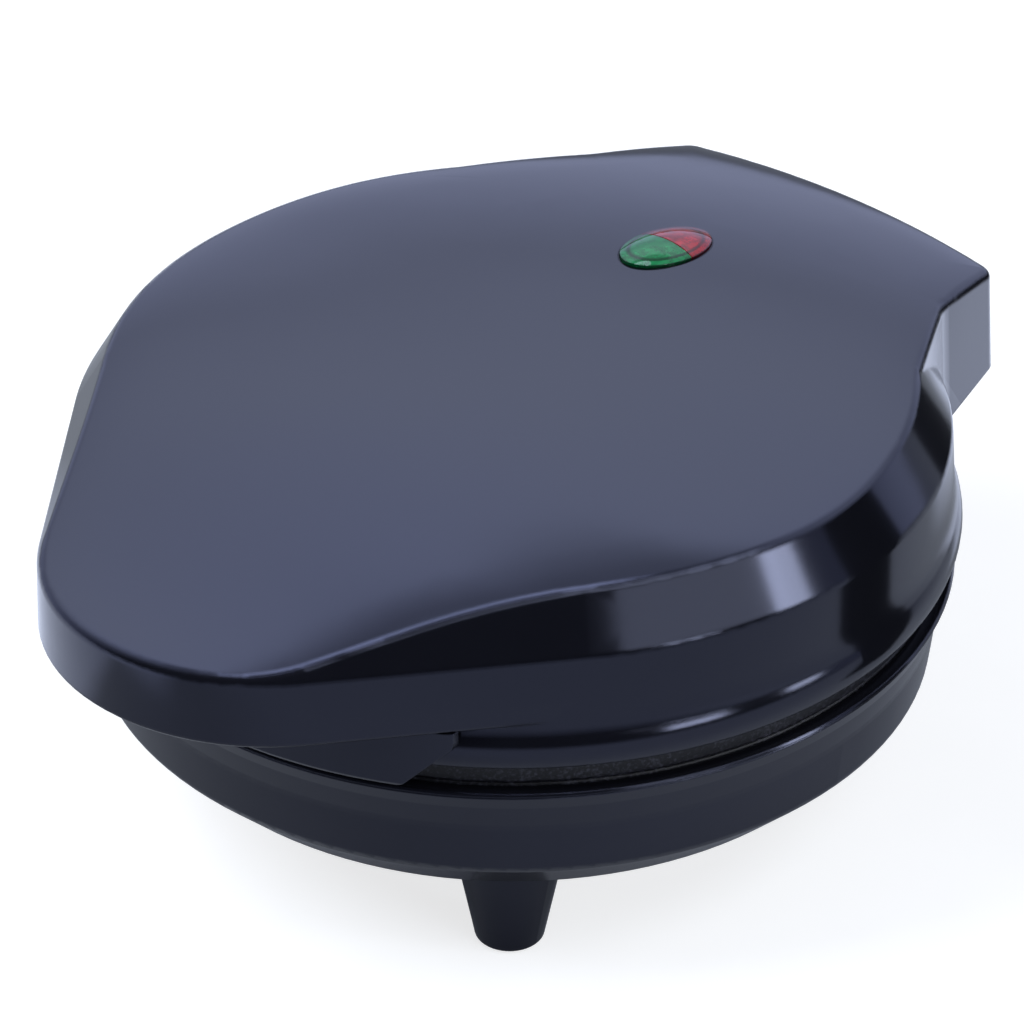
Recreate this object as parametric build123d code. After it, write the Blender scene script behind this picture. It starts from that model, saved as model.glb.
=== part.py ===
from build123d import *
import os
from math import asin, atan, cos, degrees, radians, sin, tan

os.makedirs("parts", exist_ok=True)

# Mini ring cake maker. X is to the side, Y runs from the handle (-Y) to the hinge (+Y), Z is up.
# Pieces are modelled about the centre of the round baking plates, with the floor at z = 0, and are
# moved along Y at the end so that the origin is under the middle of the whole length. Millimetres.

# Baking plates
parting_z = 64.2
plate_gap = 0.4
ring_count = 6
ring_pitch_radius = 58.0
ring_outer_radius = 25.0
ring_post_radius = 8.2
ring_depth = 10.0
cast_thickness = 2.6
plate_thickness = 3.2
plate_radius = 100.9
upper_band_radius = 101.5
plate_screw_x = 74.5
plate_screw_y = 43.0
plate_screw_radius = 1.9
screw_lug_depth = 17.0
pilot_depth = 6.0
post_radius = 5.5

# Lower housing
floor_gap = 27.4
wall = 2.8
bowl_flat_radius = 88.3
bowl_corner_radius = 99.9
bowl_corner_z = 38.9
bowl_corner_rounding = 3.0
bowl_flat_rounding = 2.0
bowl_waist_radius = 101.4
bowl_waist_z = 52.0
bowl_waist_rounding = 12.0
rim_crease_radius = 103.1
rim_crease_z = 58.6
rim_radius = 104.8
rim_top_z = 63.4
rim_seat_radius = 101.3
ledge_z = 58.4
ledge_radius = 98.6

# Feet
foot_x = 47.75
foot_y = 54.0
foot_top_radius = 13.3
foot_end_radius = 8.0
foot_end_z = 0.8
foot_rounding = 1.2
pad_radius = 6.4
pad_height = 1.6

# Underside
vent_count = 12
vent_radius = 26.0
vent_length = 15.0
vent_width = 2.6
inlet_radius = 3.4
inlet_z = 46.6

# Lid shell
lip_z = 71.0
lip_radius = 105.3
bead_radius = 106.0
bead_z = 73.6
flare_radius = 104.7
flare_z = 78.8
drum_radius = 103.5
drum_z = 87.0
crease_radius = 102.8
crease_z = 97.8
crease_rounding = 3.0
band_slope = 0.6
band_reach = 26.0
shell_bore = 100.6

# Crowned top of the lid
top_edge_radius = 2.4
crown_z = 121.2
crown_y = 16.4
side_fall = 0.00118
back_fall = 0.00142
nose_fall = 22.0
nose_run = 150.0
nose_power = 1.9

# Handle tongue
tongue_radius = 53.4
tongue_centre_y = -79.2
tongue_z = 81.5
tongue_draft = 0.03
tongue_bevel = 0.7

# Hinge block and hinge
neck_x = 56.6
neck_y = 91.0
corner_x = 48.0
corner_y = 121.2
block_back_y = 124.7
start_x = 81.88
start_y = 46.17
neck_fillet = 24.0
corner_fillet = 4.5
block_z = 76.8
block_level_z = 101.0
block_draft = 3.5
hinge_y = 112.0
hinge_z = 70.0
knuckle_radius = 6.5
pin_radius = 2.5
pin_clearance = 0.05
ear_inner_x = 28.0
ear_outer_x = 36.0
lug_inner_x = 19.0
lug_outer_x = 27.6

# Indicator lens
lens_y = 54.6
lens_half_width = 8.2
lens_half_length = 14.0
lens_proud = 2.2
lens_gap = 0.15

# Handle grip under the tongue
grip_thickness = 2.6
grip_z = 82.0
grip_screw_x = 22.0
grip_screw_y = -113.0
grip_screw_radius = 1.4
grip_post_radius = 4.0
apron_inner_radius = 106.2
apron_outer_radius = 107.9
apron_z = 66.0
apron_low_x = 51.8
apron_high_x = 62.0
apron_side_z = 77.5
apron_rounding = 3.0

# Heating parts
element_radius = 3.2
element_span = 300.0
reflector_thickness = 0.8
reflector_depth = 21.0
reflector_rise = 13.0
reflector_radius = 93.0


def crown_drop(y):
    """Fall of the lid's centre line below its highest point."""
    if y >= crown_y:
        return back_fall * (y - crown_y) ** 2
    t = min(1.0, (crown_y - y) / nose_run) ** nose_power
    return nose_fall * t * t * (3.0 - 2.0 * t)


def top_height(x, y):
    """Height of the crowned top over the floor."""
    return crown_z - side_fall * x * x - crown_drop(y)


def under_crown(lowered):
    """Everything under the crowned top, lowered by a wall thickness."""
    across = [-126.0 + 14.0 * i for i in range(19)]
    along = [-148.0 + 8.0 * i for i in range(37)]
    grid = [[Vector(x, y, top_height(x, y) - lowered) for y in along] for x in across]
    face = Face.make_surface_from_array_of_points(grid, tol=0.02)
    return extrude(face, amount=90.0, dir=(0, 0, -1))


def turned(points, arc=360.0):
    """Solid of revolution about Z from a closed line of (radius, height) points."""
    outline = Plane.XZ * make_face(Polyline(points, close=True))
    return revolve(outline, Axis.Z, arc)


def at_corners(x, y):
    return [(sx * x, sy * y) for sx in (-1, 1) for sy in (-1, 1)]


def ring_centres():
    turns = [radians(360.0 / ring_count * i) for i in range(ring_count)]
    return [(0.0, 0.0)] + [(ring_pitch_radius * cos(a), ring_pitch_radius * sin(a)) for a in turns]


def drum_form():
    """Round foot of the lid's wall: lip, bead and flare."""
    step_z = flare_z - 0.5
    step_radius = flare_radius + 0.25
    wall_lean = (crease_radius - drum_radius) / (crease_z - drum_z)
    edges = [
        Line((0, lip_z), (lip_radius, lip_z)),
        ThreePointArc((lip_radius, lip_z), (bead_radius, bead_z), (step_radius, step_z)),
        Line((step_radius, step_z), (flare_radius, flare_z)),
        Spline((flare_radius, flare_z), (drum_radius, drum_z), tangents=[(-0.42, 1), (wall_lean, 1)]),
        Line((drum_radius, drum_z), (0, drum_z)),
        Line((0, drum_z), (0, lip_z)),
    ]
    return revolve(Plane.XZ * make_face(Wire([edge.edge() for edge in edges])), Axis.Z)


def lid_outline(round_radius, end_radius):
    """Circle drawn out to the rounded end of the handle tongue by two tangent lines."""
    lean = asin((round_radius - end_radius) / -tongue_centre_y)
    right = [(end_radius * cos(lean), tongue_centre_y - end_radius * sin(lean)),
             (round_radius * cos(lean), -round_radius * sin(lean))]
    left = [(-x, y) for x, y in reversed(right)]
    return make_face(Wire([Line(*right).edge(), ThreePointArc(right[1], (0, round_radius), left[0]).edge(),
                           Line(*left).edge(),
                           ThreePointArc(left[1], (0, tongue_centre_y - end_radius), right[0]).edge()]))


def lid_layer(low, high):
    """Part of the lid between two levels, each given as (height, round radius, end radius)."""
    return loft([Pos(0, 0, z) * lid_outline(round_radius, end_radius)
                 for z, round_radius, end_radius in (low, high)], ruled=True)


def end_radius_at(z):
    """Radius of the tongue's end on the drafted wall under the crease."""
    return tongue_radius + tongue_draft * (crease_z - z)


def wall_form():
    """Lid's drafted wall with the tongue, and the sloped band above its rounded crease."""
    low_end = end_radius_at(tongue_z)
    drum = (drum_z, drum_radius, end_radius_at(drum_z))
    crease = (crease_z, crease_radius, tongue_radius)
    fall = band_slope * band_reach
    top = (crease_z + band_reach, crease_radius - fall, tongue_radius - fall)
    upper = lid_layer(drum, crease) + lid_layer(crease, top)
    edges = upper.edges().filter_by_position(Axis.Z, crease_z - 0.01, crease_z + 0.01)
    bevel = (tongue_z + tongue_bevel, drum_radius, low_end)
    skirt = lid_layer((tongue_z, drum_radius - tongue_bevel, low_end - tongue_bevel), bevel)
    return fillet(edges, crease_rounding) + lid_layer(bevel, drum) + skirt


def block_outline():
    """Outline of the hinge block, from the tangent points on the round top."""
    right = [(start_x, start_y), (neck_x, neck_y), (corner_x, corner_y)]
    left = [(-x, y) for x, y in reversed(right)]
    back = ThreePointArc(right[-1], (0, block_back_y), left[0])
    outline = make_face(Wire([*Polyline(right).edges(), back.edge(), *Polyline(left + [right[0]]).edges()]))
    necks = [v for v in outline.vertices() if abs(v.Y - neck_y) < 0.1]
    outline = fillet(necks, neck_fillet)
    corners = [v for v in outline.vertices() if abs(v.Y - corner_y) < 0.1]
    return fillet(corners, corner_fillet)


def block_form(inset):
    """Hinge block with drafted flanks and back."""
    low_z = block_z - (1.0 if inset else 0.0)
    grow = (block_level_z - low_z) * tan(radians(block_draft)) - inset
    outline = offset(block_outline(), grow)
    return extrude(Pos(0, 0, low_z) * outline, amount=60.0, taper=block_draft)


def top_rounded(body):
    """Body with the edge of its crowned top rounded, except the block's front edge inside the lid."""
    crown = max(body.faces().filter_by(GeomType.BSPLINE), key=lambda face: face.area)
    edges = crown.outer_wire().edges()
    inside = edges.filter_by_position(Axis.Y, start_y, start_y + 2.0)
    return fillet([edge for edge in edges if edge not in inside], top_edge_radius)


def lid_form():
    """Whole lid as a solid, with its top edge rounded."""
    crown = under_crown(0.0)
    return top_rounded(wall_form() & crown) + top_rounded(block_form(0.0) & crown) + drum_form()


def lid_hollow():
    """Room inside the lid, one wall thickness within its form."""
    fall = band_slope * band_reach
    bore = Pos(0, 0, (lip_z + drum_z) / 2 - 1.0) * Cylinder(shell_bore, drum_z - lip_z + 2.0)
    inner_crease_z = crease_z - 0.8
    low = (tongue_z - 1.0, shell_bore, end_radius_at(tongue_z) - wall)
    drum = (drum_z, shell_bore, end_radius_at(drum_z) - wall)
    crease = (inner_crease_z, crease_radius - wall, tongue_radius - wall)
    top = (inner_crease_z + band_reach, crease_radius - wall - fall, tongue_radius - wall - fall)
    room = bore + lid_layer(low, drum) + lid_layer(drum, crease) + lid_layer(crease, top) + block_form(wall)
    return room & under_crown(wall)


def knuckle(low_x, high_x, arm):
    """Hinge knuckle round the pin, with the arm that carries it drawn in the YZ plane."""
    disc = Pos(hinge_y, hinge_z) * Circle(knuckle_radius)
    outline = make_hull([*disc.edges(), *Polyline(arm, close=True).edges()])
    outline -= Pos(hinge_y, hinge_z) * Circle(pin_radius + pin_clearance)
    return extrude(Plane.YZ.offset(low_x) * outline, amount=high_x - low_x)


def knuckle_pair(inner_x, outer_x, arm):
    return knuckle(inner_x, outer_x, arm) + knuckle(-outer_x, -inner_x, arm)


def screw_post(x, y, low_z, high_z, radius, hole_radius, hole_from_low):
    """Moulded post with a blind pilot hole at one end."""
    post = Pos(x, y, (low_z + high_z) / 2) * Cylinder(radius, high_z - low_z)
    hole_z = low_z + pilot_depth / 2 if hole_from_low else high_z - pilot_depth / 2
    return post, Pos(x, y, hole_z) * Cylinder(hole_radius, pilot_depth)


def upper_housing():
    shell = lid_form() - lid_hollow()
    post_low = parting_z + plate_gap / 2 + screw_lug_depth
    posts = [screw_post(x, y, post_low, top_height(x, y) - wall / 2, post_radius, plate_screw_radius, True)
             for x, y in at_corners(plate_screw_x, plate_screw_y)]
    posts += [screw_post(x, grip_screw_y, grip_z + grip_thickness, top_height(x, grip_screw_y) - wall / 2,
                         grip_post_radius, grip_screw_radius, True) for x in (-grip_screw_x, grip_screw_x)]
    for post, hole in posts:
        shell += post
        shell -= hole
    lug_arm = [(104.5, 84.0), (122.4, 84.0), (121.6, 101.0), (104.5, 106.0)]
    shell += knuckle_pair(lug_inner_x, lug_outer_x, lug_arm)
    window = Ellipse(lens_half_width + lens_gap, lens_half_length + lens_gap)
    return shell - lens_place() * extrude(window, 9.0, both=True)


def lower_housing():
    outer = [(0, floor_gap), (bowl_flat_radius, floor_gap), (bowl_corner_radius, bowl_corner_z),
             (bowl_waist_radius, bowl_waist_z), (rim_crease_radius, rim_crease_z),
             (rim_radius - 0.4, rim_top_z - 1.4), (rim_radius - 0.7, rim_top_z - 1.1),
             (rim_radius, rim_top_z - 0.7), (rim_radius - 0.4, rim_top_z), (0, rim_top_z)]
    outline = make_face(Polyline(outer, close=True))
    for radius, rounding in ((bowl_corner_radius, bowl_corner_rounding),
                             (bowl_flat_radius, bowl_flat_rounding),
                             (bowl_waist_radius, bowl_waist_rounding)):
        outline = fillet([v for v in outline.vertices() if abs(v.X - radius) < 0.01], rounding)
    form = revolve(Plane.XZ * outline, Axis.Z)
    bowl = form - turned([(0, rim_top_z + 1.0), (rim_seat_radius, rim_top_z + 1.0),
                          (rim_seat_radius, ledge_z), (ledge_radius, ledge_z),
                          (bowl_waist_radius - wall, bowl_waist_z),
                          (bowl_corner_radius - wall, bowl_corner_z + 1.2),
                          (bowl_flat_radius - 1.3, floor_gap + wall), (0, floor_gap + wall)])
    for x, y in at_corners(foot_x, foot_y):
        bowl += Pos(x, y) * foot()
    level = bowl.edges().filter_by_position(Axis.Z, floor_gap - 0.01, floor_gap + 0.01)
    rounds = level.filter_by(GeomType.CIRCLE)
    bowl = fillet([edge for edge in rounds if edge.radius < bowl_flat_radius / 2], foot_rounding)
    for x, y in at_corners(foot_x, foot_y):
        bowl -= Pos(x, y) * foot_pad()
    post_top = parting_z - plate_gap / 2 - screw_lug_depth
    for x, y in at_corners(plate_screw_x, plate_screw_y):
        post, hole = screw_post(x, y, floor_gap + 1.0, post_top, post_radius, plate_screw_radius, False)
        bowl = bowl + (post & form) - hole
    for i in range(vent_count):
        slot = extrude(SlotOverall(vent_length, vent_width), wall + 1.0, both=True)
        bowl -= Rot(Z=360.0 / vent_count * (i + 0.5)) * Pos(vent_radius, 0, floor_gap + wall / 2) * slot
    ear_arm = [(94.2, 45.0), (97.6, 62.2), (98.4, 62.2), (95.0, 45.0)]
    bowl += knuckle_pair(ear_inner_x, ear_outer_x, ear_arm)
    inlet = Pos(0, bowl_waist_radius, inlet_z) * Rot(X=90)
    return bowl + inlet * Cylinder(inlet_radius + 2.8, 3.0) - inlet * Cylinder(inlet_radius, 14.0)


def foot():
    height = floor_gap + 0.5 - foot_end_z
    cone = Pos(0, 0, foot_end_z + height / 2) * Cone(foot_end_radius, foot_top_radius, height)
    return fillet(cone.edges().sort_by(Axis.Z)[0], 1.2)


def foot_pad():
    return Pos(0, 0, pad_height / 2) * Cylinder(pad_radius, pad_height)


def ring_mould():
    """One ring channel below z = 0, as the solid that the cast plate is cut by."""
    middle = (ring_outer_radius + ring_post_radius) / 2
    mouth = (ring_outer_radius - ring_post_radius) / 2
    bed = mouth - 4.2
    edges = [
        Line((middle - mouth - 0.6, 0.6), (middle - mouth + 0.4, -0.4)),
        Spline((middle - mouth + 0.4, -0.4), (middle - bed, -ring_depth), tangents=[(0.1, -1), (1, -0.1)]),
        Line((middle - bed, -ring_depth), (middle + bed, -ring_depth)),
        Spline((middle + bed, -ring_depth), (middle + mouth - 0.4, -0.4), tangents=[(1, 0.1), (0.1, 1)]),
        Line((middle + mouth - 0.4, -0.4), (middle + mouth + 0.6, 0.6)),
        Line((middle + mouth + 0.6, 0.6), (middle - mouth - 0.6, 0.6)),
    ]
    return revolve(Plane.XZ * make_face(Wire([edge.edge() for edge in edges])), Axis.Z)


def baking_plate(outer_radius, skirt_depth, spigot):
    """Cast plate, its face at z = 0 looking up: ring moulds, skirt, heater seat and screw lugs."""
    plate = Pos(0, 0, -plate_thickness / 2) * Cylinder(outer_radius, plate_thickness)
    plate = fillet(plate.edges().sort_by(Axis.Z)[-1], 0.8)
    bore = outer_radius - cast_thickness
    plate += turned([(bore, -skirt_depth), (outer_radius, -skirt_depth), (outer_radius, -2.0), (bore, -2.0)])
    if spigot:
        low = -skirt_depth - 4.0
        high = -skirt_depth + 0.6
        plate += turned([(shell_bore - 2.8, low), (shell_bore - 0.3, low), (shell_bore - 0.3, high),
                         (shell_bore - 2.8, high)])
    cup_depth = ring_depth + cast_thickness
    cup_radius = ring_outer_radius + cast_thickness
    cup = turned([(0, -1), (cup_radius, -1), (cup_radius, -cup_depth + 4.5), (cup_radius - 4.0, -cup_depth),
                  (0, -cup_depth)])
    seat_depth = cup_depth + element_radius
    for side in (-1, 1):
        near = ring_pitch_radius + side * element_radius
        far = near + side * 2.2
        plate += turned([(near, -seat_depth), (far, -seat_depth), (far, -2.0), (near, -2.0)])
    for x, y in ring_centres():
        plate += Pos(x, y) * cup
    for x, y in at_corners(plate_screw_x, plate_screw_y):
        plate += Pos(x, y, -screw_lug_depth / 2 - 0.5) * Cylinder(5.0, screw_lug_depth - 1.0)
    for x, y in ring_centres():
        plate -= Pos(x, y) * ring_mould()
    for x, y in at_corners(plate_screw_x, plate_screw_y):
        plate -= Pos(x, y, -screw_lug_depth / 2) * Cylinder(plate_screw_radius + 0.2, screw_lug_depth + 2.0)
        plate -= Pos(x, y, -1.1) * Cone(plate_screw_radius + 0.2, 4.2, 2.2)
    return plate


def plate_screws():
    """Countersunk screws, their heads just under z = 0."""
    r = plate_screw_radius
    length = screw_lug_depth + pilot_depth - 1.0
    screw = turned([(0, -0.1), (3.9, -0.1), (r, -2.1), (r, -length + 1.2), (0.7, -length), (0, -length)])
    screw -= Pos(0, 0, -0.9) * (Box(5.0, 0.9, 1.7) + Box(0.9, 5.0, 1.7))
    return Compound([Pos(x, y) * screw for x, y in at_corners(plate_screw_x, plate_screw_y)])


def heater_element():
    """Open ring of sheathed tube with its two terminals pointing down."""
    section = Plane.XZ * Pos(ring_pitch_radius, 0) * Circle(element_radius)
    half = element_span / 2
    element = Rot(Z=-90 - half) * revolve(section, Axis.Z, element_span)
    for side in (-1, 1):
        end = radians(-90 + side * half)
        place = Pos(ring_pitch_radius * cos(end), ring_pitch_radius * sin(end))
        element += place * (Sphere(element_radius) + Pos(0, 0, -3.5) * Cylinder(1.3, 7.0))
        element += place * Pos(0, 0, -7.0) * Box(6.3, 0.8, 5.0)
    return Pos(0, 0, -ring_depth - cast_thickness - element_radius) * element


def reflector():
    """Pressed steel pan behind the heater, with holes for the screw lugs, terminals and thermostat."""
    t = reflector_thickness
    flat = reflector_radius - 7.0
    pan = turned([(0, 0), (flat, 0), (reflector_radius, reflector_rise),
                  (reflector_radius + 3, reflector_rise), (reflector_radius + 3, reflector_rise + t),
                  (reflector_radius - t, reflector_rise + t),
                  (flat - t, t), (0, t)])
    for side in (-1, 1):
        end = radians(-90 + side * element_span / 2)
        pan -= Pos(ring_pitch_radius * cos(end), ring_pitch_radius * sin(end)) * Cylinder(5.0, 4.0)
    for x, y in at_corners(plate_screw_x, plate_screw_y):
        pan -= Pos(x, y) * Cylinder(6.4, 3.0 * reflector_rise)
    return Pos(0, 0, -reflector_depth) * (pan - Cylinder(10.5, 4.0))


def thermostat():
    """Disc thermostat, its flange against the underside of the centre mould."""
    body = Pos(0, 0, -0.4) * Box(26.0, 9.0, 0.8) + Pos(0, 0, -3.6) * Cylinder(8.0, 5.6)
    for x in (-4.5, 4.5):
        body += Pos(x, 0, -8.0) * Box(0.8, 6.3, 4.0)
    return Pos(0, 0, -ring_depth - cast_thickness) * body


def thermal_fuse():
    """Small fuse lying on the back of the upper reflector, with its two leads."""
    fuse = Rot(Y=90) * Cylinder(2.0, 11.0)
    for side in (-1, 1):
        fuse += Pos(side * 10.5, 0, 0) * Rot(Y=90) * Cylinder(0.5, 10.0)
    return Pos(0, -30.0, -reflector_depth - 2.0) * fuse


def terminal_block():
    block = Pos(0, 76.0, floor_gap + wall + 2.6) * Box(26.0, 11.0, 5.2)
    for i in (-1, 0, 1):
        block -= Pos(8.0 * i, 76.0, floor_gap + wall + 5.2) * Cylinder(1.6, 3.0)
    return block


def hinge_pins():
    """Two headed stub pins, fixed in the ears of the base and turning in the lugs of the lid."""
    length = ear_outer_x - lug_inner_x
    pin = Cylinder(pin_radius, length) + Pos(0, 0, length / 2 + 0.8) * Cylinder(pin_radius + 1.6, 1.6)
    pins = []
    for side in (-1, 1):
        place = Pos(side * (lug_inner_x + length / 2), hinge_y, hinge_z)
        pins.append(place * Rot(Y=side * 90) * pin)
    return Compound(pins)


def handle_grip():
    """Cover that closes the tongue from below, with an apron in front of the drum and finger ribs."""
    inset = wall + 0.2
    inside = lid_outline(drum_radius - inset, end_radius_at(grip_z + grip_thickness) - inset)
    closing = extrude(Pos(0, 0, grip_z) * inside, grip_thickness)
    closing -= Pos(0, 0, grip_z) * Cylinder(drum_radius + 0.4, 20.0)
    apron = turned([(apron_inner_radius, apron_z), (apron_outer_radius - 0.5, apron_z),
                    (apron_outer_radius, apron_z + 0.8), (apron_outer_radius, grip_z + 1.0),
                    (apron_inner_radius, grip_z + 1.0)])
    top_z = tongue_z - 0.15
    right = [(apron_low_x, apron_z), (apron_high_x, apron_side_z), (apron_high_x, top_z)]
    left = [(-x, z) for x, z in reversed(right)]
    ends = make_face(Polyline(right + left, close=True))
    ends = fillet([v for v in ends.vertices() if v.Y < apron_side_z + 1.0], apron_rounding)
    below = extrude(Plane.XZ * ends, 150.0)
    top_inside = extrude(Pos(0, 0, top_z - 1.0) * inside, 10.0) - Pos(0, 40, 90) * Box(300, 200, 40)
    grip = closing + (apron & (below + top_inside))
    for i in range(3):
        grip += Pos(0, -112.0 - 5.5 * i, grip_z - 0.3) * Box(34.0 - 4.0 * i, 1.8, 0.8)
    for x in (-grip_screw_x, grip_screw_x):
        grip -= Pos(x, grip_screw_y, grip_z) * (Cylinder(grip_screw_radius + 0.2, 8.0) + Cylinder(3.0, 2.4))
    return grip


def grip_screws():
    r = grip_screw_radius
    low = grip_z + 1.2
    high = grip_z + grip_thickness + pilot_depth - 0.5
    screw = turned([(0, low - 1.1), (2.7, low - 1.1), (2.7, low), (r, low),
                    (r, high - 1.0), (0.5, high), (0, high)])
    screw -= Pos(0, 0, low - 1.1) * (Box(3.6, 0.7, 1.2) + Box(0.7, 3.6, 1.2))
    return Compound([Pos(x, grip_screw_y) * screw for x in (-grip_screw_x, grip_screw_x)])


def lens_place():
    """Frame on the crowned top at the indicator, its Z along the surface's normal."""
    slope = 2.0 * back_fall * (lens_y - crown_y)
    return Pos(0, lens_y, top_height(0, lens_y)) * Rot(X=-degrees(atan(slope)))


def indicator_lens(side):
    """Half of the oval lens: side -1 is the front half, +1 the half by the hinge."""
    thickness = 4.9
    oval = extrude(Pos(0, 0, -4.5) * Ellipse(lens_half_width, lens_half_length), 9.0)
    dome = scale(Sphere(1.0), by=(10.6, 18.1, thickness))
    half = Pos(0, side * (20.0 + 0.15), 0) * Box(40.0, 40.0, 20.0)
    return lens_place() * (oval & Pos(0, 0, lens_proud - thickness) * dome & half)


def lamp_holder():
    """Open box under the lens, with a wall between its two lamps."""
    outer = extrude(Pos(0, 0, -14.0) * Ellipse(lens_half_width + 3.0, lens_half_length + 3.0), 10.4)
    inner = extrude(Pos(0, 0, -12.4) * Ellipse(lens_half_width + 1.2, lens_half_length + 1.2), 11.2)
    return lens_place() * (outer - inner + Pos(0, 0, -9.2) * Box(2 * lens_half_width + 4.0, 1.2, 8.4))


def lamp(side):
    tube = Cylinder(2.6, 7.0) + Pos(0, 0, 3.5) * Sphere(2.6)
    return lens_place() * Pos(0, side * 6.4, -9.6) * Rot(Y=90) * Pos(0, 0, -1.5) * tube


def heater_stack(place, outer_radius, skirt_depth, spigot):
    """Plate, screws, heater and pan of one half, set by a frame on the plate's face."""
    return {
        "plate": place * baking_plate(outer_radius, skirt_depth, spigot),
        "plate_screws": place * plate_screws(),
        "element": place * heater_element(),
        "reflector": place * reflector(),
        "thermostat": place * thermostat(),
    }


lower_face = Pos(0, 0, parting_z - plate_gap / 2)
upper_face = Pos(0, 0, parting_z + plate_gap / 2) * Rot(Y=180)
lower_stack = heater_stack(lower_face, plate_radius, parting_z - plate_gap / 2 - ledge_z, False)
upper_stack = heater_stack(upper_face, upper_band_radius, lip_z - parting_z - plate_gap / 2, True)

nodes = {"lower_" + name: piece for name, piece in lower_stack.items()}
nodes.update({"upper_" + name: piece for name, piece in upper_stack.items()})
nodes["lower_housing"] = lower_housing()
nodes["foot_pads"] = Compound([Pos(x, y) * foot_pad() for x, y in at_corners(foot_x, foot_y)])
nodes["terminal_block"] = terminal_block()
nodes["hinge_pins"] = hinge_pins()
nodes["upper_housing"] = upper_housing()
nodes["handle_grip"] = handle_grip()
nodes["grip_screws"] = grip_screws()
nodes["lens_green"] = indicator_lens(-1)
nodes["lens_red"] = indicator_lens(1)
nodes["lamp_holder"] = lamp_holder()
nodes["lamp_green"] = lamp(-1)
nodes["lamp_red"] = lamp(1)
nodes["thermal_fuse"] = upper_face * thermal_fuse()

# The handle and the back of the hinge block end at equal distances from the origin.
front_y = tongue_centre_y - end_radius_at(tongue_z)
back_y = block_back_y + (block_level_z - block_z) * tan(radians(block_draft))
centring = Pos(0, -(front_y + back_y) / 2)
for name, piece in nodes.items():
    export_step(centring * piece, "parts/" + name + ".step")
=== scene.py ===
"""Mini ring cake maker: finishes, lens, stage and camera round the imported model."""
from math import atan, cos, pi, radians, sin, sqrt

import bpy
from bpy.props import FloatProperty, FloatVectorProperty, IntProperty, PointerProperty
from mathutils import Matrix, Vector


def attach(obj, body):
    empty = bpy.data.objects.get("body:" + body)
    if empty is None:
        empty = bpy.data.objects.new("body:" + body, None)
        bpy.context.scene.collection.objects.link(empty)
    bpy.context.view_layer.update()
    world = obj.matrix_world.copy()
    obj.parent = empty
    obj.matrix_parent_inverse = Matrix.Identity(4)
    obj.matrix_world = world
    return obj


bl_info = {
    "name": "Mini Ring Cake Maker",
    "version": (1, 0, 0),
    "blender": (4, 5, 0),
    "location": "View3D > Sidebar > Cake Maker",
    "description": "Finishes and detail pieces of a closed ring cake maker",
    "category": "Object",
}

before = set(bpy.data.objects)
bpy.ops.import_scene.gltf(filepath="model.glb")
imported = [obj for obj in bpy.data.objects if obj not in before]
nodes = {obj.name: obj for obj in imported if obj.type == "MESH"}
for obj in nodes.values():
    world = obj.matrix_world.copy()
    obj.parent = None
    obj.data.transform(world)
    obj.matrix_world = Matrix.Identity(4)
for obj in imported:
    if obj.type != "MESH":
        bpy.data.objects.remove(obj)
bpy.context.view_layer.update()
mm = 0.001

# The frame's origin lies this far in front of the middle of the round body
round_middle_y = 3.4544 * mm

# The lid's outline: a large circle joined by straight sides to the circle of the tongue's end, at a level
# from which it widens downwards by a slope
outline_radius = 102.8 * mm
tongue_radius = 53.4 * mm
tongue_reach = 79.2 * mm
outline_level = 97.8 * mm
outline_slope = 0.6

# The hinge block's outline, at a level from which it widens downwards by its draft: the (across, ahead,
# distance) of its flank and of its neck, its bowed back, and its front inside the lid
block_flank = (0.8711, 0.4912, 94.0 * mm)
block_neck = (0.9618, 0.2739, 79.36 * mm)
block_back_bow = 662.0 * mm
block_back = 124.7 * mm
block_front = 46.2 * mm
block_level = 101.0 * mm
block_draft = 0.061

# Middle of the indicator lens on the crowned top, and the lean of the top there
lens_y = 54.6 * mm + round_middle_y
lens_z = 119.13 * mm
lens_tilt = atan(0.1085)
lens_half_width = 8.2 * mm
lens_half_length = 14.0 * mm

# The field of prisms under the lens: its half sizes, how far under the top it lies and its bare middle line
prism_half_width = 7.4 * mm
prism_half_length = 13.0 * mm
prism_drop = 5.6 * mm
prism_gap = 0.5 * mm

# The cast bead's ring, just proud of the upper plate's wall
bead_ring_radius = 101.6 * mm
bead_level = 70.2 * mm
bead_unevenness = 0.22 * mm
bead_sides = 6

# Lamps: name, azimuth, elevation, distance, size, radiance, and whether the gloss mirrors them
lamps = (
    ("key_softbox", -35.0, 50.0, 1.5, (0.8, 0.8), 9.0, False),
    ("side_strip", 111.5, 15.0, 1.2, (0.19, 0.42), 10.0, True),
    ("flare_strip", 84.0, 9.5, 1.25, (0.30, 0.08), 17.0, True),
    ("side_panel", 90.0, 26.0, 1.25, (0.92, 0.40), 2.0, True),
    ("high_side_softbox", 88.0, 52.0, 1.3, (1.2, 0.35), 3.5, True),
)
lamp_colour = (0.88, 0.93, 1.0)
lamp_aim = Vector((0.0, 0.0, 0.08))

# Black cards: name, two corners on the floor, height
cards = (
    ("side_card", (0.186, 0.072), (0.146, 0.101), 0.15),
    ("rear_card", (0.02, 0.42), (0.14, 0.42), 0.10),
)
card_foot = 1.0 * mm
floor_size = 8.0

# The side of the room that reflections show bright
bright_azimuth = -140.0

# The camera that was fitted to the photograph; its focal length is in pixels of the picture
camera_azimuth = 42.0
camera_elevation = 32.7
camera_distance = 1.2
camera_aim = Vector((-0.00007, round_middle_y - 0.00007, 0.0703))
sensor_width = 36.0
focal_pixels = 5071.0
picture_pixels = 1024.0


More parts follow.
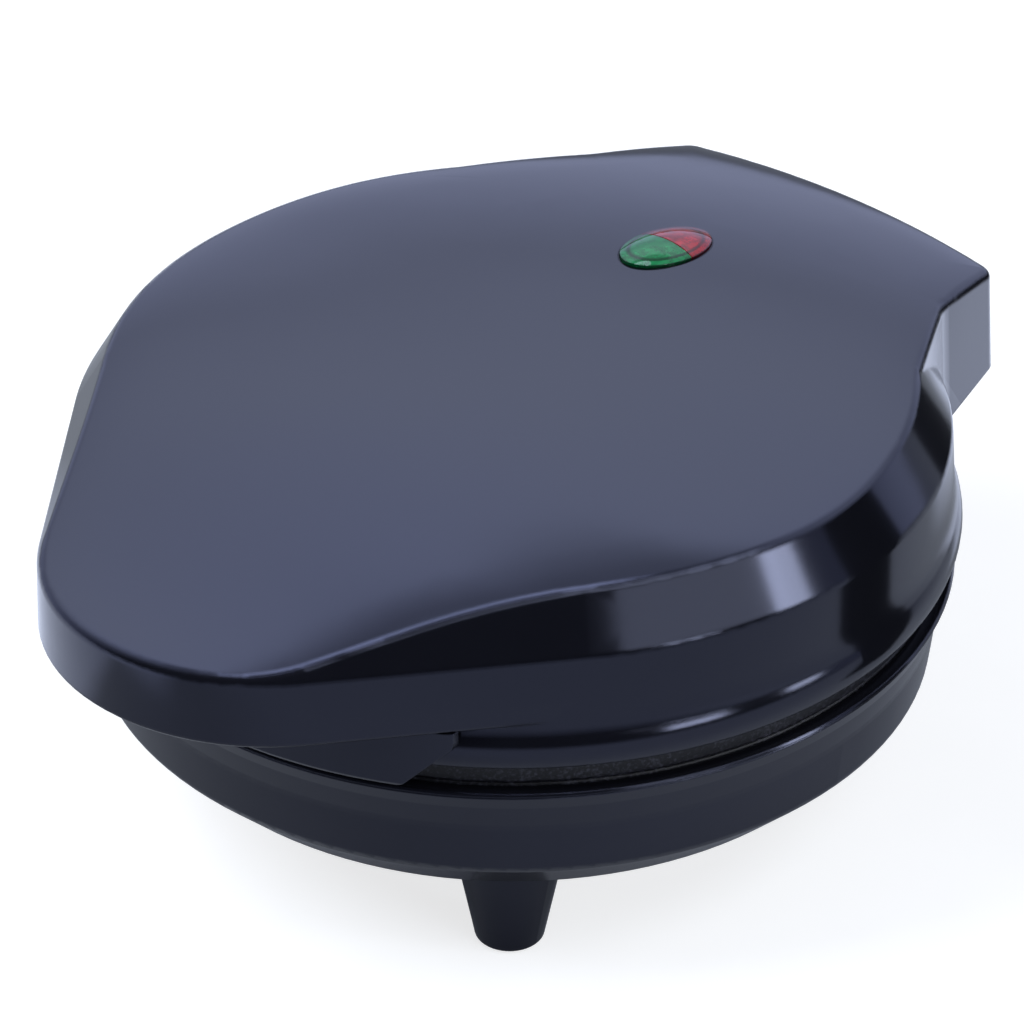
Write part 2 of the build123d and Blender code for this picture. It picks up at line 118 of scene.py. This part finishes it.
class Value:
    """A node's output that adds Math nodes when it stands in an expression."""

    def __init__(self, owner, socket):
        self.owner = owner
        self.socket = socket

    def sibling(self, name):
        """Another output of the same node."""
        return Value(self.owner, self.socket.node.outputs[name])

    def math(self, operation, *others):
        return self.owner.node("ShaderNodeMath", {"operation": operation}, self, *others)

    def flipped(self, operation, other):
        return self.owner.node("ShaderNodeMath", {"operation": operation}, other, self)

    def __add__(self, other):
        return self.math("ADD", other)

    def __sub__(self, other):
        return self.math("SUBTRACT", other)

    def __mul__(self, other):
        return self.math("MULTIPLY", other)

    def __truediv__(self, other):
        return self.math("DIVIDE", other)

    def __pow__(self, other):
        return self.math("POWER", other)

    def __gt__(self, other):
        return self.math("GREATER_THAN", other)

    def __lt__(self, other):
        return self.math("LESS_THAN", other)

    def __radd__(self, other):
        return self.flipped("ADD", other)

    def __rsub__(self, other):
        return self.flipped("SUBTRACT", other)

    def __rmul__(self, other):
        return self.flipped("MULTIPLY", other)

    def __rtruediv__(self, other):
        return self.flipped("DIVIDE", other)


class Tree:
    """A node tree, with one method that adds any node."""

    def __init__(self, tree):
        self.tree = tree

    def node(self, kind, settings, *values, output=None, **named):
        """Adds a node; settings are its properties, values its first inputs, and named its inputs by name."""
        node = self.tree.nodes.new(kind)
        for key, setting in settings.items():
            setattr(node, key, setting)
        shown = [socket for socket in node.inputs if socket.enabled]
        for socket, value in zip(shown, values):
            self.feed(socket, value)
        for key, value in named.items():
            matches = [socket for socket in shown if socket.name == key.replace("_", " ")]
            self.feed(matches[0], value)
        outputs = [socket for socket in node.outputs if socket.enabled]
        if output:
            outputs = [socket for socket in outputs if socket.name == output]
        return Value(self, outputs[0]) if outputs else None

    def feed(self, socket, value):
        """Links a Value to an input, or sets a plain number or colour on it."""
        if isinstance(value, Value):
            self.tree.links.new(value.socket, socket)
        elif value is not None:
            if socket.type == "RGBA" and len(value) == 3:
                value = (*value, 1.0)
            socket.default_value = value


class Finish(Tree):
    """A material's node tree, on Object coordinates."""

    def __init__(self, name):
        self.material = bpy.data.materials.new(name)
        self.material.use_nodes = True
        super().__init__(self.material.node_tree)
        self.tree.nodes.clear()
        self.place = self.node("ShaderNodeTexCoord", {}, output="Object")

    def parts(self):
        """The X, Y and Z of a point of the piece."""
        across = self.node("ShaderNodeSeparateXYZ", {}, self.place, output="X")
        return across, across.sibling("Y"), across.sibling("Z")

    def noise(self, scale, detail=3.0, roughness=0.5, where=None):
        return self.node("ShaderNodeTexNoise", {}, output="Fac", Vector=where or self.place,
                         Scale=scale, Detail=detail, Roughness=roughness)

    def span(self, value, low, high, to_low=0.0, to_high=1.0):
        """A ramp from to_low at low to to_high at high, level outside them."""
        return self.node("ShaderNodeMapRange", {}, value, low, high, to_low, to_high)

    def blend(self, factor, first, second):
        return self.node("ShaderNodeMix", {"data_type": "RGBA"}, factor, first, second)

    def bump(self, height, distance, strength=1.0, under=None):
        return self.node("ShaderNodeBump", {}, Strength=strength, Distance=distance, Height=height,
                         Normal=under)

    def principled(self, **sockets):
        """Ends the tree in a Principled shader and returns the material."""
        shader = self.node("ShaderNodeBsdfPrincipled", {}, **sockets)
        self.node("ShaderNodeOutputMaterial", {}, Surface=shader)
        return self.material


class Sky(Finish):
    """The world's node tree, on the direction looked in."""

    def __init__(self, tree):
        Tree.__init__(self, tree)
        tree.nodes.clear()
        self.place = self.node("ShaderNodeTexCoord", {}, output="Generated")


class Shape(Tree):
    """A geometry tree with named inputs, whose result is kept as a plain mesh."""

    def __init__(self, name, **sizes):
        group = bpy.data.node_groups.new(name, "GeometryNodeTree")
        super().__init__(group)
        self.name = name
        self.sizes = sizes
        group.interface.new_socket("Geometry", in_out="OUTPUT", socket_type="NodeSocketGeometry")
        for key, size in sizes.items():
            kind = "NodeSocketInt" if isinstance(size, int) else "NodeSocketFloat"
            group.interface.new_socket(key, in_out="INPUT", socket_type=kind)
        self.inputs = self.node("NodeGroupInput", {}).socket.node.outputs

    def size(self, key):
        return Value(self, self.inputs[key])

    def piece(self, geometry, material, body, slot):
        """Realizes the geometry, gives it its finish and makes one mesh piece of it."""
        real = self.node("GeometryNodeRealizeInstances", {}, geometry)
        finished = self.node("GeometryNodeSetMaterial", {}, Geometry=real, Material=material)
        self.node("NodeGroupOutput", {}, finished)
        carrier = bpy.data.objects.new(self.name, bpy.data.meshes.new(self.name))
        bpy.context.scene.collection.objects.link(carrier)
        modifier = carrier.modifiers.new(self.name, "NODES")
        modifier.node_group = self.tree
        for socket in self.tree.interface.items_tree:
            if socket.in_out == "INPUT":
                modifier[socket.identifier] = self.sizes[socket.name]
        graph = bpy.context.evaluated_depsgraph_get()
        mesh = bpy.data.meshes.new_from_object(carrier.evaluated_get(graph), depsgraph=graph)
        carrier.modifiers.remove(modifier)
        carrier.data = mesh
        mesh.name = self.name
        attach(carrier, body)
        return carrier


class CakeMakerSizes(bpy.types.PropertyGroup):
    """Sizes that a user may change without touching the frame."""

    prism_pitch: FloatProperty(name="Prism pitch", description="Distance between the prisms under the lens",
                               default=1.3 * mm, subtype="DISTANCE", unit="LENGTH")
    prism_height: FloatProperty(name="Prism height", description="Height of each prism under the lens",
                                default=0.8 * mm, subtype="DISTANCE", unit="LENGTH")
    bead_radius: FloatProperty(name="Rim bead", description="Radius of the cast bead round the upper plate",
                               default=0.32 * mm, subtype="DISTANCE", unit="LENGTH")
    bead_segments: IntProperty(name="Bead segments", description="Segments round the cast bead", default=720)


class CakeMakerColours(bpy.types.PropertyGroup):
    """Colours of the finishes."""

    shell: FloatVectorProperty(name="Shell", description="Colour of the moulded shells", subtype="COLOR",
                               default=(0.0045, 0.0046, 0.0066), min=0.0, max=1.0)
    coating: FloatVectorProperty(name="Coating", description="Colour of the non-stick coating",
                                 subtype="COLOR", default=(0.007, 0.007, 0.009), min=0.0, max=1.0)
    green: FloatVectorProperty(name="Ready lens", description="Colour of the green half of the lens",
                               subtype="COLOR", default=(0.0, 0.42, 0.12), min=0.0, max=1.0)
    red: FloatVectorProperty(name="Power lens", description="Colour of the red half of the lens",
                             subtype="COLOR", default=(0.55, 0.01, 0.015), min=0.0, max=1.0)


def direction(azimuth, elevation):
    """Unit vector from the object; azimuth 0 is in front of the handle, 90 to its right."""
    turn, rise = radians(azimuth), radians(elevation)
    return Vector((sin(turn) * cos(rise), -cos(turn) * cos(rise), sin(rise)))


def paint(node, material):
    """Gives a frame node its finish."""
    materials = nodes[node].data.materials
    materials.clear()
    materials.append(material)


def straight_side(across, ahead, side):
    """Distance outside one straight side of the hinge block."""
    slope_across, slope_ahead, distance = side
    return across * slope_across - ahead * slope_ahead - distance


def lid_edge_distance(finish):
    """Distance outside the edge of the lid's top: the drawn-out circle joined to the hinge block."""
    side, depth, height = finish.parts()
    across = side.math("ABSOLUTE")
    ahead = round_middle_y - depth
    lean = (outline_radius - tongue_radius) / tongue_reach
    rise = sqrt(1.0 - lean * lean)
    along = ahead * rise - across * lean
    to_circle = (across ** 2.0 + ahead ** 2.0).math("SQRT") - outline_radius
    to_tongue = (across ** 2.0 + (ahead - tongue_reach) ** 2.0).math("SQRT") - tongue_radius
    to_side = across * rise + ahead * lean - outline_radius
    at_tongue = along > rise * tongue_reach
    at_circle = along < 0.0
    hull = to_circle * at_circle + to_tongue * at_tongue + to_side * ((1.0 - at_tongue) * (1.0 - at_circle))
    hull = hull + (height - outline_level) * outline_slope
    flank = straight_side(across, ahead, block_flank)
    neck = straight_side(across, ahead, block_neck)
    back = (across ** 2.0) / block_back_bow - ahead - block_back
    block = flank.math("MINIMUM", neck).math("MAXIMUM", back) + (height - block_level) * block_draft
    return hull.math("MINIMUM", block.math("MAXIMUM", ahead + block_front))


def gloss_shell(name, colour, roughness, edge, rolled=False):
    """Moulded high-gloss plastic with soft edges; rolled is for a top that falls to its edge."""
    finish = Finish(name)
    clouds = finish.noise(14.0, 4.0, 0.55)
    ripple = finish.noise(70.0, 2.0, 0.5)
    dust = finish.noise(1500.0, 2.0, 0.7)
    tint = finish.blend(finish.span(clouds, 0.3, 0.7), [c * 0.9 for c in colour], [c * 1.2 for c in colour])
    rough = roughness + finish.span(clouds, 0.3, 0.7, -0.015, 0.02) + finish.span(dust, 0.55, 0.8, 0.0, 0.03)
    soft = finish.node("ShaderNodeBevel", {"samples": 4}, Radius=edge)
    normal = finish.bump(ripple, 0.04 * mm, 0.3, soft)
    if rolled:
        roll = finish.span(lid_edge_distance(finish), -13.0 * mm, -0.2 * mm)
        normal = finish.bump(roll ** 3.0 * -1.0, 0.38 * mm, 1.0, normal)
    return finish.principled(Base_Color=tint, Roughness=rough, Normal=normal, IOR=1.5,
                             Specular_Tint=(0.67, 0.71, 1.0))


class CAKE_OT_housings(bpy.types.Operator):
    """Finish the lid's shell, the base's shell and the handle grip"""

    bl_idname = "cake_maker.housings"
    bl_label = "Housings"

    def execute(self, context):
        black = list(context.scene.cake_maker_colours.shell)
        lid = gloss_shell("gloss_black_lid", black, roughness=0.13, edge=1.1 * mm, rolled=True)
        shell = gloss_shell("gloss_black_shell", black, roughness=0.15, edge=0.5 * mm)
        paint("upper_housing", lid)
        for node in ("lower_housing", "handle_grip"):
            paint(node, shell)
        return {"FINISHED"}


class CAKE_OT_plates(bpy.types.Operator):
    """Finish the two cast baking plates and lay the cast bead round the upper one"""

    bl_idname = "cake_maker.plates"
    bl_label = "Baking plates"

    def execute(self, context):
        colour = list(context.scene.cake_maker_colours.coating)
        coating = self.coating("grainy_coating", colour, roughness=0.34)
        for node in ("upper_plate", "lower_plate"):
            paint(node, coating)
        # Painted highlight: the bead's coating is made nine times lighter to show a dashed glint under the
        # lip; its lower roughness gives real gloss
        wear_and_sheen = self.coating("worn_bead", [c * 9.0 for c in colour], roughness=0.2)
        self.bead(context.scene.cake_maker_sizes, wear_and_sheen)
        return {"FINISHED"}

    def coating(self, name, colour, roughness):
        """Dark non-stick coating with a fine grain, pits and a few light specks."""
        finish = Finish(name)
        grain = finish.noise(1100.0, 4.0, 0.65)
        pits = finish.node("ShaderNodeTexVoronoi", {}, output="Distance", Vector=finish.place, Scale=900.0)
        swirl = finish.noise(90.0, 3.0, 0.6)
        specks = finish.span(grain + 0.4 * swirl, 0.70, 0.95)
        tint = finish.blend(specks, colour, [c * 7.0 for c in colour])
        rough = finish.span(grain, 0.3, 0.7, roughness, roughness + 0.18)
        normal = finish.bump(grain + 0.5 * pits, 0.12 * mm, 0.8)
        return finish.principled(Base_Color=tint, Roughness=rough, Normal=normal, Specular_IOR_Level=0.28)

    def bead(self, sizes, material):
        """Uneven cast bead along the top of the visible rim, under the lid's lip."""
        shape = Shape("upper_plate_bead", Rim=bead_ring_radius, Bead=sizes.bead_radius, Level=bead_level,
                      Unevenness=bead_unevenness, Segments=sizes.bead_segments)
        ring = shape.node("GeometryNodeCurvePrimitiveCircle", {"mode": "RADIUS"}, shape.size("Segments"),
                          Radius=shape.size("Rim"))
        spot = shape.node("GeometryNodeInputPosition", {})
        wave = shape.node("ShaderNodeTexNoise", {"noise_dimensions": "3D"}, output="Color", Vector=spot,
                          Scale=160.0, Detail=2.0)
        swing = shape.node("ShaderNodeVectorMath", {"operation": "SUBTRACT"}, wave, (0.5, 0.5, 0.5))
        swing = shape.node("ShaderNodeVectorMath", {"operation": "SCALE"}, swing,
                           Scale=shape.size("Unevenness"))
        lift = shape.node("ShaderNodeCombineXYZ", {}, 0.0, round_middle_y, shape.size("Level"))
        moved = shape.node("ShaderNodeVectorMath", {"operation": "ADD"}, swing, lift)
        ring = shape.node("GeometryNodeSetPosition", {}, ring, Offset=moved)
        profile = shape.node("GeometryNodeCurvePrimitiveCircle", {"mode": "RADIUS"}, bead_sides,
                             Radius=shape.size("Bead"))
        tube = shape.node("GeometryNodeCurveToMesh", {}, ring, profile)
        shape.piece(tube, material, "lid", "plate_coating")


class CAKE_OT_lens(bpy.types.Operator):
    """Finish the two halves of the indicator lens and set the prisms under them"""

    bl_idname = "cake_maker.lens"
    bl_label = "Indicator lens"

    def execute(self, context):
        colours = context.scene.cake_maker_colours
        for node, colour, pale, index in (("lens_green", colours.green, 1.0, 1.38),
                                          ("lens_red", colours.red, 1.5, 1.46)):
            paint(node, self.clear(node + "_clear", list(colour), pale, index))
        self.prisms(context.scene.cake_maker_sizes)
        return {"FINISHED"}

    def clear(self, name, colour, pale, index):
        """Clear moulded plastic with painted shade: darker at the foot of the dome, and a dark line painted
        where its inner step is.
        """
        finish = Finish(name)
        side, depth, _ = finish.parts()
        along = (depth - lens_y) / lens_half_length
        oval = ((side / lens_half_width) ** 2.0 + along.math("ABSOLUTE") ** 2.0).math("SQRT")
        streak = finish.noise(420.0, 3.0, 0.6)
        # Painted shade: the colour turns dark at the foot of the dome and in a ring where the inner step is
        rim = finish.span(oval, 0.965, 1.0)
        step = finish.span(oval, 0.74, 0.80) * finish.span(oval, 0.88, 0.83)
        tint = finish.blend(finish.span(streak, 0.35, 0.65), [c * 0.5 for c in colour],
                            [min(1.0, c * 0.9 * pale + 0.01) for c in colour])
        lens_shade = [c * 0.05 for c in colour]
        tint = finish.blend((step * 0.85).math("MAXIMUM", rim * 0.95), tint, lens_shade)
        rough = finish.span(streak, 0.3, 0.7, 0.03, 0.07)
        dome = finish.bump(oval ** 3.0 * -1.0, 1.1 * mm)
        normal = finish.bump(finish.noise(260.0, 2.0, 0.5), 0.12 * mm, 0.5, dome)
        return finish.principled(Base_Color=tint, Roughness=rough, Normal=normal, IOR=index,
                                 Transmission_Weight=0.5)

    def prisms(self, sizes):
        """Rows of small four-sided prisms under the lens, which break up the light behind it."""
        shape = Shape("lens_prisms", Half_Width=prism_half_width, Half_Length=prism_half_length,
                      Pitch=sizes.prism_pitch, Height=sizes.prism_height, Gap=prism_gap)
        half_width, half_length = shape.size("Half_Width"), shape.size("Half_Length")
        pitch = shape.size("Pitch")
        grid = shape.node("GeometryNodeMeshGrid", {}, half_width * 2.0, half_length * 2.0,
                          (half_width * 2.0 / pitch).math("ROUND"), (half_length * 2.0 / pitch).math("ROUND"))
        spot = shape.node("GeometryNodeInputPosition", {})
        across = shape.node("ShaderNodeSeparateXYZ", {}, spot, output="X")
        along = across.sibling("Y")
        oval = (across / half_width) ** 2.0 + (along / half_length) ** 2.0
        inside = (oval < 0.92) * (along.math("ABSOLUTE") > shape.size("Gap"))
        cone = shape.node("GeometryNodeMeshCone", {}, 4, 1, 1, 0.0, pitch * 0.7, shape.size("Height"))
        placed = shape.node("GeometryNodeInstanceOnPoints", {}, grid, inside, cone,
                            Rotation=(0.0, 0.0, radians(45.0)))
        tilted = shape.node("GeometryNodeTransform", {}, placed,
                            Translation=(0.0, lens_y, lens_z - prism_drop), Rotation=(-lens_tilt, 0.0, 0.0))
        shape.piece(tilted, self.pearl(), "lid", "holder_white")

    def pearl(self):
        """Pearly white plastic of the prisms."""
        finish = Finish("prism_white")
        speck = finish.noise(700.0, 2.0, 0.5)
        return finish.principled(Base_Color=finish.blend(speck, (0.72, 0.73, 0.72), (0.88, 0.88, 0.87)),
                                 Roughness=finish.span(speck, 0.3, 0.7, 0.12, 0.25))


class CAKE_OT_inner(bpy.types.Operator):
    """Finish the metal, rubber, ceramic and lamp pieces"""

    bl_idname = "cake_maker.inner"
    bl_label = "Inner pieces"

    def execute(self, context):
        zinc = self.metal("zinc_steel", (0.46, 0.46, 0.48), (0.66, 0.66, 0.68), roughness=0.26,
                          stretch=(700.0, 700.0, 700.0))
        brushed = self.metal("aluminised_pan", (0.5, 0.51, 0.52), (0.68, 0.69, 0.7), roughness=0.3,
                             stretch=(60.0, 1400.0, 900.0))
        sheath = self.metal("heater_sheath", (0.16, 0.13, 0.11), (0.34, 0.33, 0.32), roughness=0.36,
                            stretch=(120.0, 120.0, 120.0))
        cream = self.matt("fuse_cream", (0.55, 0.5, 0.38), (0.7, 0.66, 0.54), 0.4, 300.0)
        rubber = self.matt("soft_rubber", (0.018, 0.018, 0.019), (0.036, 0.036, 0.037), 0.65, 900.0)
        phenolic = self.matt("cream_phenolic", (0.6, 0.55, 0.46), (0.74, 0.7, 0.62), 0.48, 500.0)
        white = self.matt("holder_white", (0.7, 0.7, 0.67), (0.82, 0.82, 0.8), 0.4, 260.0)
        green = self.matt("lamp_green_glass", (0.5, 0.66, 0.52), (0.68, 0.82, 0.7), 0.06, 500.0)
        red = self.matt("lamp_red_glass", (0.72, 0.4, 0.34), (0.86, 0.56, 0.48), 0.06, 500.0)
        for finished, material in (
            (("lower_plate_screws", "upper_plate_screws", "grip_screws", "hinge_pins"), zinc),
            (("lower_reflector", "upper_reflector"), brushed),
            (("lower_element", "upper_element"), sheath),
            (("thermal_fuse",), cream),
            (("foot_pads",), rubber),
            (("lower_thermostat", "upper_thermostat", "terminal_block"), phenolic),
            (("lamp_holder",), white),
            (("lamp_green",), green),
            (("lamp_red",), red),
        ):
            for node in finished:
                paint(node, material)
        return {"FINISHED"}

    def metal(self, name, dark, light, roughness, stretch):
        """Metal with fine streaks, longest where stretch is least, and a few duller stains."""
        finish = Finish(name)
        where = finish.node("ShaderNodeMapping", {}, finish.place, Scale=stretch)
        streak = finish.noise(1.0, 4.0, 0.6, where)
        stain = finish.noise(35.0, 3.0, 0.55)
        wear_and_sheen = finish.span(streak, 0.3, 0.7, -0.05, 0.09) + finish.span(stain, 0.5, 0.8, 0.0, 0.12)
        tint = finish.blend(streak * 0.6 + stain * 0.4, dark, light)
        return finish.principled(Base_Color=tint, Metallic=1.0, Roughness=roughness + wear_and_sheen,
                                 Normal=finish.bump(streak, 0.04 * mm, 0.5))

    def matt(self, name, dark, light, roughness, scale):
        """Plain moulded or fired material with specks of the given scale and soft clouds."""
        finish = Finish(name)
        speck = finish.noise(scale, 3.0, 0.6)
        cloud = finish.noise(scale / 12.0, 2.0, 0.5)
        return finish.principled(Base_Color=finish.blend(speck * 0.5 + cloud * 0.5, dark, light),
                                 Roughness=finish.span(speck, 0.3, 0.7, roughness, roughness + 0.14),
                                 Normal=finish.bump(speck, 0.05 * mm, 0.6))


class CAKE_OT_stage(bpy.types.Operator):
    """Set the floor, the cards, the lamps, the world and the camera"""

    bl_idname = "cake_maker.stage"
    bl_label = "Stage"

    def execute(self, context):
        scene = context.scene
        self.floor()
        self.world(scene)
        for name, left, right, top in cards:
            self.card(name, left, right, top)
        for lamp in lamps:
            self.lamp(scene, *lamp)
        self.camera(scene)
        scene.view_settings.view_transform = "Standard"
        return {"FINISHED"}

    def floor(self):
        """Pale paper, white to the eye; in reflections it glows with painted light, bright at the left and
        behind, and dim elsewhere.
        """
        bpy.ops.mesh.primitive_plane_add(size=floor_size)
        floor = bpy.context.object
        floor.name = "floor"
        paper = Finish("pale_paper")
        grain = paper.noise(60.0, 3.0, 0.5)
        lit = paper.node("ShaderNodeBsdfDiffuse", {},
                         Color=paper.blend(grain, (0.41, 0.42, 0.43), (0.45, 0.46, 0.47)))
        spot, depth, _ = paper.parts()
        # Painted light: pools on the floor that glow only to mirrored rays, at the left, behind and a little
        # towards the right
        near_left = paper.span(spot, -0.105, -0.130) * paper.span(depth, 0.03, -0.05)
        far_left = paper.span(depth, -0.285, -0.315) * paper.span(spot, 0.01, -0.04)
        behind = (paper.span(depth, 0.19, 0.24) * paper.span(spot, 0.115, 0.085)
                  * paper.span(depth, 0.40, 0.33))
        right = paper.span(spot, 0.06, 0.16)
        bright = near_left.math("MAXIMUM", far_left).math("MAXIMUM", behind) + 0.05 + right * 0.18
        seen = paper.node("ShaderNodeLightPath", {}, output="Is Camera Ray")
        mirrored = seen.sibling("Is Glossy Ray")
        tint = paper.blend(seen, (0.70, 0.77, 1.0), (1.0, 1.0, 1.0))
        glow = paper.node("ShaderNodeEmission", {}, Color=tint,
                          Strength=seen * 0.75 + mirrored * (1.0 - seen) * bright)
        both = paper.node("ShaderNodeAddShader", {}, lit, glow)
        paper.node("ShaderNodeOutputMaterial", {}, Surface=both)
        floor.data.materials.append(paper.material)

    def card(self, name, left, right, top):
        """Black card out of view, which the walls and the band mirror as a dark gap."""
        mesh = bpy.data.meshes.new(name)
        corners = [(*left, card_foot), (*right, card_foot), (*right, top), (*left, top)]
        mesh.from_pydata(corners, [], [(0, 1, 2, 3)])
        card = bpy.data.objects.new(name, mesh)
        black = Finish(name + "_black")
        weave = black.noise(200.0, 2.0, 0.5)
        tint = black.blend(weave, (0.01, 0.01, 0.01), (0.02, 0.02, 0.02))
        mesh.materials.append(black.principled(Base_Color=tint, Roughness=0.9))
        card.visible_camera = False
        card.visible_shadow = False
        bpy.context.scene.collection.objects.link(card)

    def lamp(self, scene, name, azimuth, elevation, distance, size, radiance, mirrored):
        """Rectangular lamp that faces the object, out of the camera's sight."""
        way = direction(azimuth, elevation)
        data = bpy.data.lights.new(name, "AREA")
        data.shape = "RECTANGLE"
        data.size, data.size_y = size
        data.energy = radiance * pi * size[0] * size[1]
        data.color = lamp_colour
        lamp = bpy.data.objects.new(name, data)
        lamp.location = way * distance + lamp_aim
        lamp.rotation_euler = (-way).to_track_quat("-Z", "Y").to_euler()
        lamp.visible_camera = False
        lamp.visible_glossy = mirrored
        scene.collection.objects.link(lamp)

    def world(self, scene):
        """White to the eye; in reflections white behind the object and dim on the camera's side."""
        world = bpy.data.worlds.new("studio")
        scene.world = world
        world.use_nodes = True
        sky = Sky(world.node_tree)
        bright_side = tuple(direction(bright_azimuth, 0.0))
        facing = sky.node("ShaderNodeVectorMath", {"operation": "DOT_PRODUCT"}, sky.place, bright_side,
                          output="Value")
        _, depth, height = sky.parts()
        room = sky.span(facing, -0.35, 0.45, 0.03, 1.0) * sky.span(height, 0.38, 0.88, 1.25, 3.3)
        shadow_line = height - sky.span(depth, 0.5, 0.25) * 0.10
        room = room * (1.0 - sky.span(shadow_line, 0.78, 0.84) * 0.6)
        overhead = sky.span(height, 0.955, 0.97) * sky.span(height, 1.0, 0.995)
        room = room + overhead * 6.5
        seen = sky.node("ShaderNodeLightPath", {}, output="Is Camera Ray")
        mirrored = seen.sibling("Is Glossy Ray").math("MAXIMUM", seen.sibling("Is Transmission Ray"))
        strength = seen + (1.0 - seen) * (mirrored * room + (1.0 - mirrored) * 0.3)
        cool = sky.blend(sky.span(height, 0.25, 0.6), (0.62, 0.69, 1.0), (0.72, 0.79, 1.0))
        shade = sky.node("ShaderNodeBackground", {}, Color=sky.blend(seen, cool, (1.0, 1.0, 1.0)),
                         Strength=strength)
        sky.node("ShaderNodeOutputWorld", {}, Surface=shade)

    def camera(self, scene):
        """Camera in front of the handle, to its right."""
        back = direction(camera_azimuth, camera_elevation)
        data = bpy.data.cameras.new("camera")
        data.sensor_width = sensor_width
        data.lens = sensor_width * focal_pixels / picture_pixels
        camera = bpy.data.objects.new("camera", data)
        camera.location = camera_aim + back * camera_distance
        camera.rotation_euler = (-back).to_track_quat("-Z", "Y").to_euler()
        scene.collection.objects.link(camera)
        scene.camera = camera


class CAKE_PT_panel(bpy.types.Panel):
    """Lists the steps in the sidebar"""

    bl_idname = "CAKE_PT_panel"
    bl_label = "Cake Maker"
    bl_space_type = "VIEW_3D"
    bl_region_type = "UI"
    bl_category = "Cake Maker"

    def draw(self, context):
        for step in steps:
            self.layout.operator(step.bl_idname)
        for group in (context.scene.cake_maker_sizes, context.scene.cake_maker_colours):
            for key in group.__annotations__:
                self.layout.prop(group, key)


steps = (CAKE_OT_housings, CAKE_OT_plates, CAKE_OT_lens, CAKE_OT_inner, CAKE_OT_stage)
classes = (CakeMakerSizes, CakeMakerColours, *steps, CAKE_PT_panel)


def register():
    for cls in classes:
        bpy.utils.register_class(cls)
    bpy.types.Scene.cake_maker_sizes = PointerProperty(type=CakeMakerSizes)
    bpy.types.Scene.cake_maker_colours = PointerProperty(type=CakeMakerColours)


def unregister():
    del bpy.types.Scene.cake_maker_colours
    del bpy.types.Scene.cake_maker_sizes
    for cls in reversed(classes):
        bpy.utils.unregister_class(cls)


def main():
    register()
    bpy.ops.cake_maker.housings()
    bpy.ops.cake_maker.plates()
    bpy.ops.cake_maker.lens()
    bpy.ops.cake_maker.inner()
    bpy.ops.cake_maker.stage()


if __name__ == "__main__":
    main()
